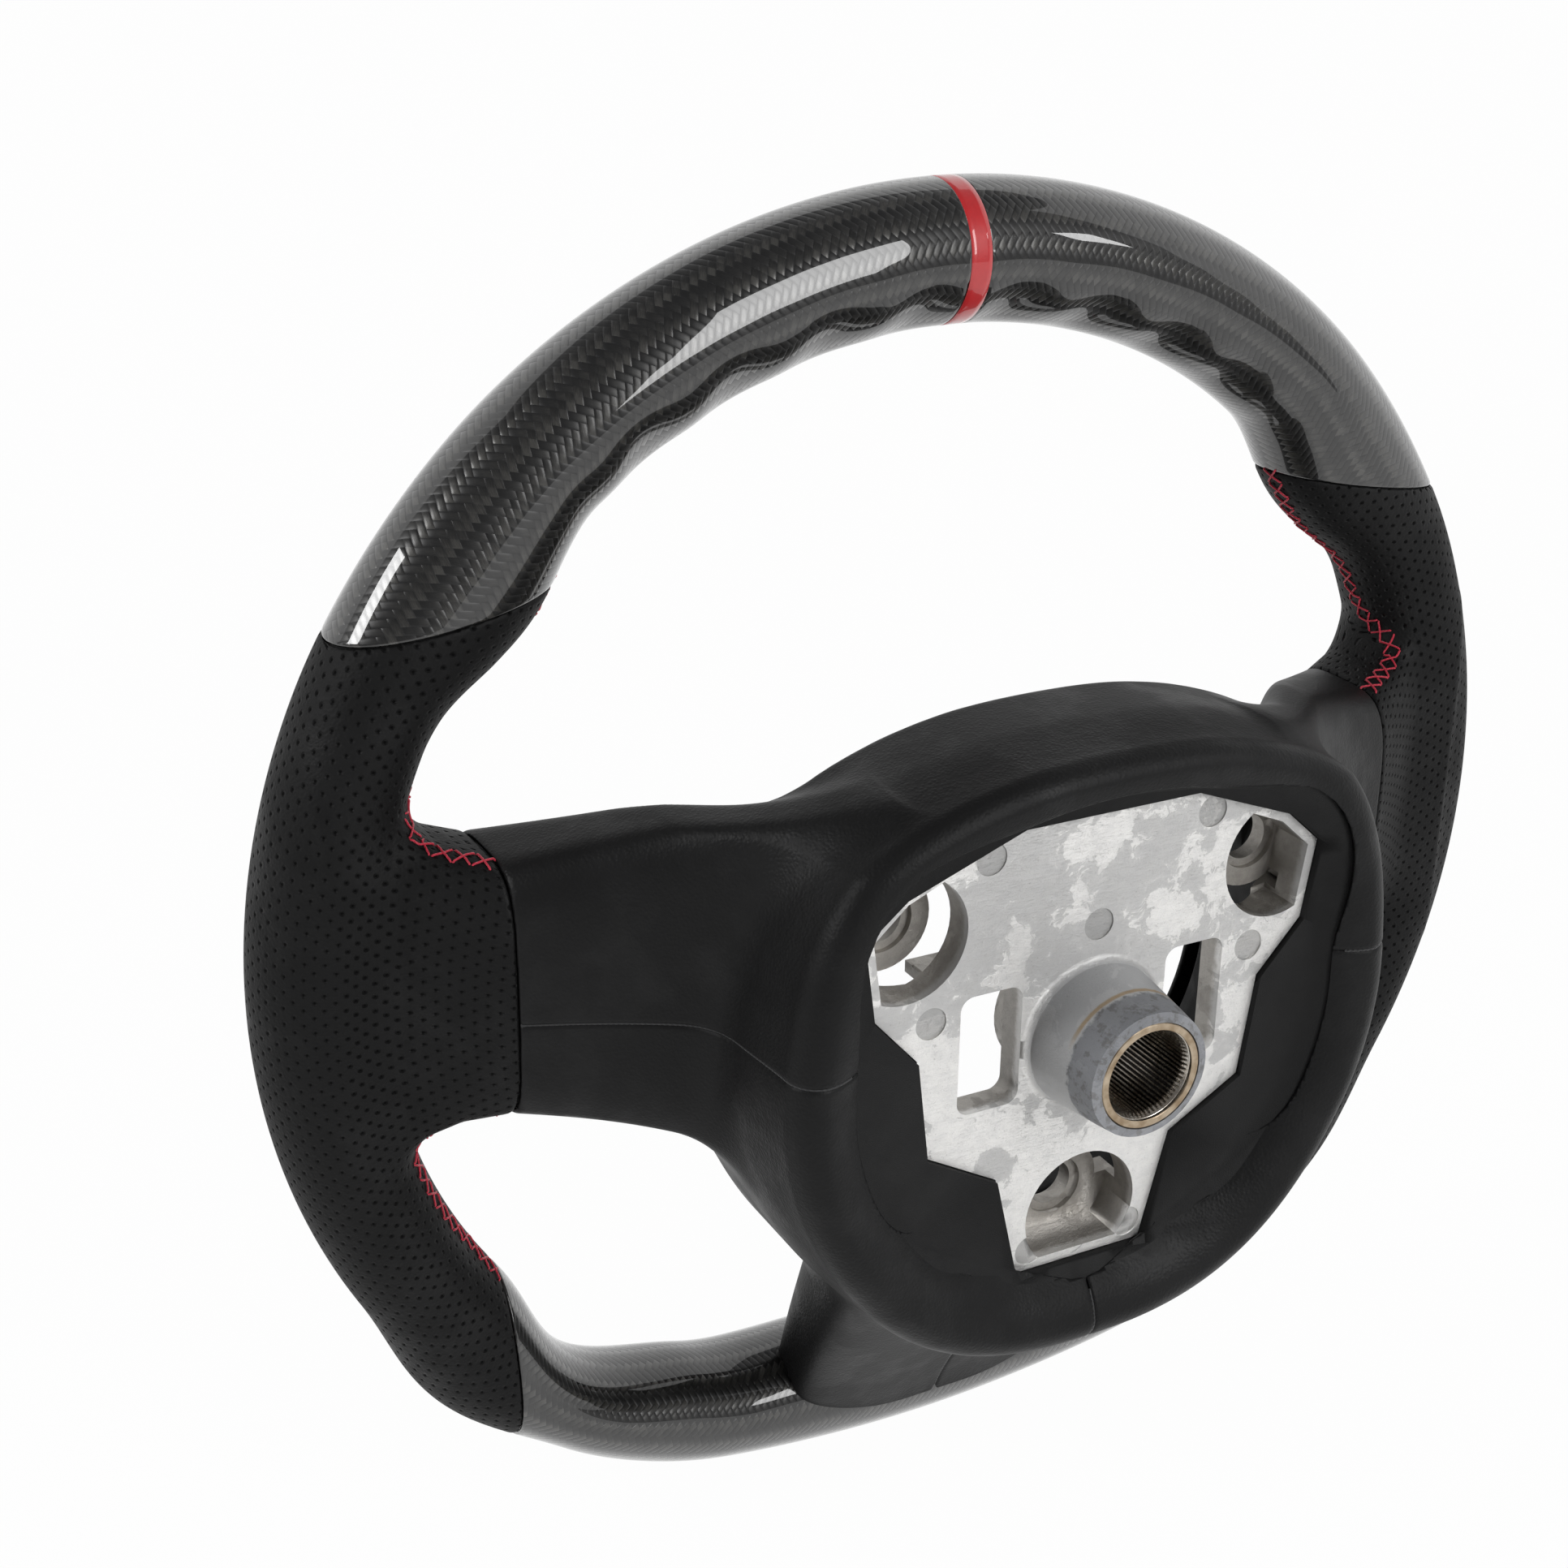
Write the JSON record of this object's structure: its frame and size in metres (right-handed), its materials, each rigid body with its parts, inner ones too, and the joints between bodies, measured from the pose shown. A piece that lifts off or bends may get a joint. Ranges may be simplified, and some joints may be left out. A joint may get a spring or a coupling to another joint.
{
  "type": "steering wheel",
  "caption": "Flat-bottomed road-car steering wheel seen from its column side: carbon and leather rim, leather-covered spokes, cast hub plate with a splined boss.",
  "frame": {"origin": "middle of the boss's end face, on the column axis", "axes": "+Y along the column axis towards the column, +Z to twelve o'clock, +X to the driver's right"},
  "size_m": [0.365, 0.1228, 0.353],
  "materials": {
    "cast_alloy": "as cast, satin grey",
    "steel": "turned and broached, light oil stain",
    "core_alloy": "plain, as cast",
    "carbon_lacquer": "clear lacquer over twill weave",
    "stripe_paint": "red lacquer",
    "rim_foam": "moulded foam",
    "perforated_leather": "perforated, matt",
    "smooth_leather": "fine grain, satin",
    "contrast_thread": "red twisted thread",
    "black_thread": "twisted thread",
    "black_moulding": "fine textured moulding"
  },
  "bodies": {
    "root": {"armature_casting": "cast_alloy", "spline_insert": "steel", "rim_core_ring": "core_alloy", "upper_carbon_shell": "carbon_lacquer", "centre_stripe": "stripe_paint", "upper_rim_core": "rim_foam", "lower_carbon_shell": "carbon_lacquer", "lower_rim_core": "rim_foam", "right_grip_leather": "perforated_leather", "right_grip_pad": "rim_foam", "right_upper_seam_thread": "contrast_thread", "right_lower_seam_thread": "contrast_thread", "left_grip_leather": "perforated_leather", "left_grip_pad": "rim_foam", "left_upper_seam_thread": "contrast_thread", "left_lower_seam_thread": "contrast_thread", "upper_cover_leather": "smooth_leather", "lower_right_cover_leather": "smooth_leather", "lower_left_cover_leather": "smooth_leather", "right_cover_seam_cord": "black_thread", "left_cover_seam_cord": "black_thread", "foot_cover_seam_cord": "black_thread", "hub_body": "black_moulding"}
  },
  "joints": []
}
